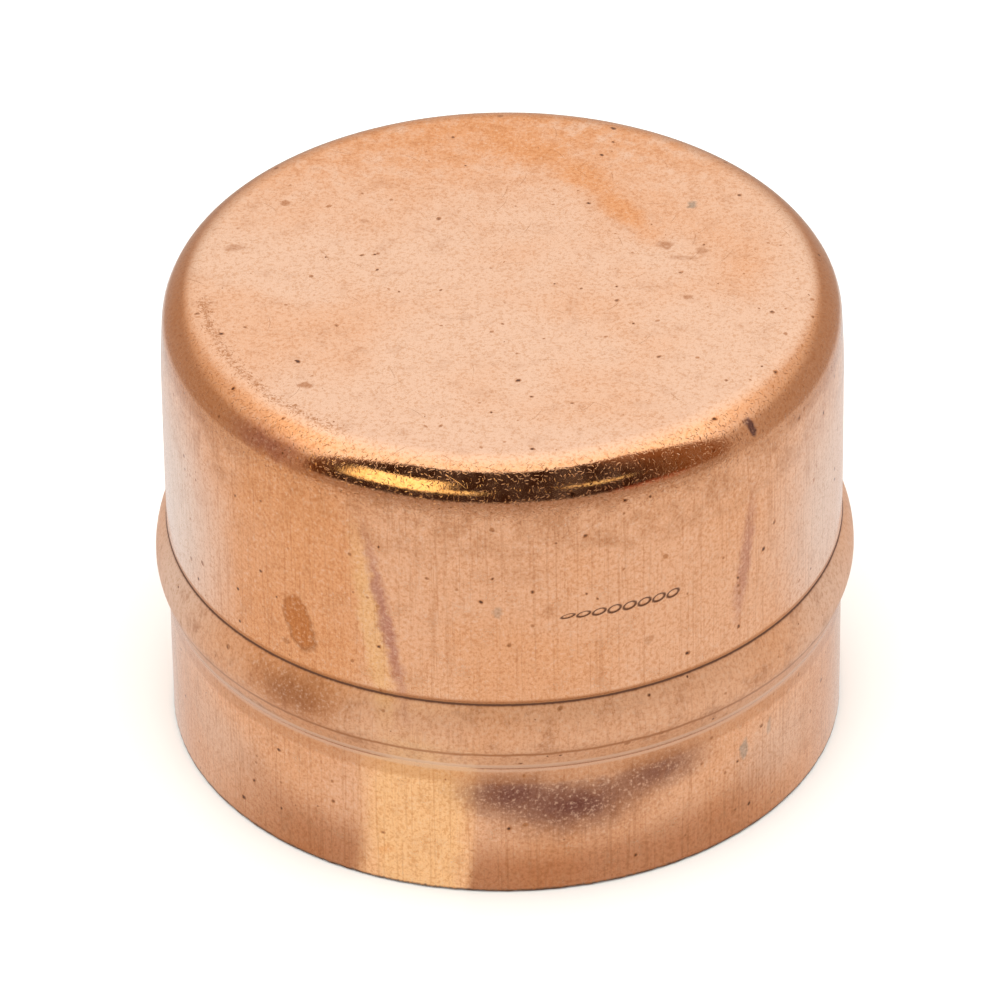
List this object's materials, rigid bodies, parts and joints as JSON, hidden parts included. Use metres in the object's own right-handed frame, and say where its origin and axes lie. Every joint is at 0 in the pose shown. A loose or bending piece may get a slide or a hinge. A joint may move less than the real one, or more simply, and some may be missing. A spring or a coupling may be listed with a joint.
{
  "type": "pipe cap",
  "caption": "Drawn copper stop end that closes a pipe by capillary soldering, with a solder ring held in the bead near its mouth.",
  "frame": {"origin": "centre of the mouth, in the plane of the cut rim", "axes": "+Z along the axis from the mouth to the closed end; X and Y are across the axis, with the split of the solder ring at +Y"},
  "size_m": [0.059, 0.059, 0.042],
  "materials": {
    "copper": "satin, lightly tarnished",
    "solder": "dull, as cast"
  },
  "bodies": {
    "root": {"cap_body": "copper", "solder_ring": "solder"}
  },
  "joints": []
}
